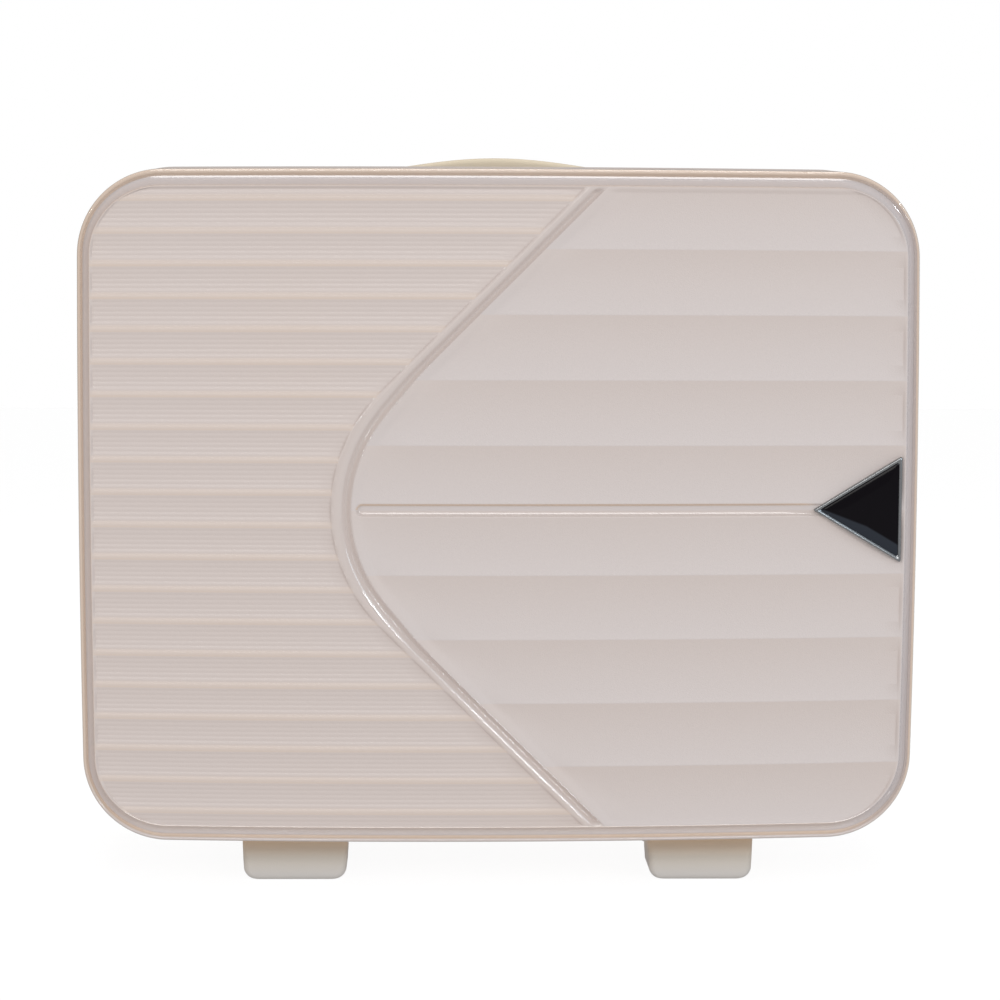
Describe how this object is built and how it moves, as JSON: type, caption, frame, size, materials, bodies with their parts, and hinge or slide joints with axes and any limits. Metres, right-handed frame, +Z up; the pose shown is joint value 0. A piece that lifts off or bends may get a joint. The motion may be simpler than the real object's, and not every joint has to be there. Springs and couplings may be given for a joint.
{
  "type": "organizer case",
  "caption": "Hard zip-round organizer case with fluted shells, an arrow groove, a bare triangular badge, low feet and a sprung carry handle.",
  "frame": {"origin": "middle of the footprint of the whole case, at the level of the feet's undersides", "axes": "+X to the right of the fluted front, +Y from the front to the back, +Z up"},
  "size_m": [0.32, 0.1552, 0.2782],
  "materials": {
    "shell": "pale powder beige, semi-gloss edge and fine matt grain on the panels",
    "foot": "moulded cream plastic",
    "screw": "zinc plated",
    "zip_tape": "woven tape",
    "zip_teeth": "nylon coil",
    "zip_metal": "light gilt plating",
    "welt": "woven webbing",
    "grip": "soft cream thermoplastic",
    "steel": "plain steel",
    "black_plastic": "black acetal",
    "badge_metal": "polished",
    "badge_gloss": "black domed resin, no lettering",
    "elastic": "woven elastic",
    "plate": "moulded plastic",
    "lining": "polyester lining cloth"
  },
  "bodies": {
    "case_back": {"back_shell": "shell", "rear_feet": "foot", "rear_foot_screws": "screw", "rear_zip_tape": "zip_tape", "rear_zip_teeth": "zip_teeth", "zip_stops": "zip_metal", "hinge_cord": "welt", "rear_hinge_welt": "welt", "handle_brackets": "grip", "handle_housings": "black_plastic", "handle_springs": "steel", "handle_screws": "screw", "luggage_strap": "elastic", "strap_plates": "plate", "strap_rivets": "screw", "rear_lining": "lining", "left_pack_strap": "elastic", "right_pack_strap": "elastic", "buckle_socket": "black_plastic", "buckle_plug": "black_plastic"},
    "case_front": {"front_shell": "shell", "front_feet": "foot", "front_foot_screws": "screw", "front_zip_tape": "zip_tape", "front_zip_teeth": "zip_teeth", "front_hinge_welt": "welt", "badge_frame": "badge_metal", "badge_insert": "badge_gloss", "front_lining": "lining", "lid_pocket": "lining", "pocket_band": "elastic"},
    "carry_handle": {"handle_grip": "grip", "handle_core": "steel", "handle_washers": "screw"},
    "left_zip_slider": {"left_slider": "zip_metal"},
    "right_zip_slider": {"right_slider": "zip_metal"},
    "left_zip_pull": {"left_pull": "zip_metal"},
    "right_zip_pull": {"right_pull": "zip_metal"}
  },
  "joints": [
    {"name": "lid_hinge", "type": "hinge", "parent": "case_back", "child": "case_front", "pos_m": [0, -0.0011, 0.0193], "axis": [1, 0, 0], "range_deg": [0, 100]},
    {"name": "handle_lift", "type": "slide", "parent": "case_back", "child": "carry_handle", "axis": [0, 0, 1], "range_m": [0, 0.012], "stiffness_N_per_m": 300, "springref_m": -0.005, "deforming": ["handle_springs"]},
    {"name": "left_slider_slide", "type": "slide", "parent": "case_back", "child": "left_zip_slider", "axis": [-1, 0, 0], "range_m": [0, 0.108]},
    {"name": "right_slider_slide", "type": "slide", "parent": "case_back", "child": "right_zip_slider", "axis": [1, 0, 0], "range_m": [0, 0.108]},
    {"name": "left_pull_swing", "type": "hinge", "parent": "left_zip_slider", "child": "left_zip_pull", "pos_m": [-0.01, -0.0011, 0.2732], "axis": [0, 1, 0], "range_deg": [0, 90]},
    {"name": "right_pull_swing", "type": "hinge", "parent": "right_zip_slider", "child": "right_zip_pull", "pos_m": [0.01, -0.0011, 0.2732], "axis": [0, -1, 0], "range_deg": [0, 90]}
  ]
}
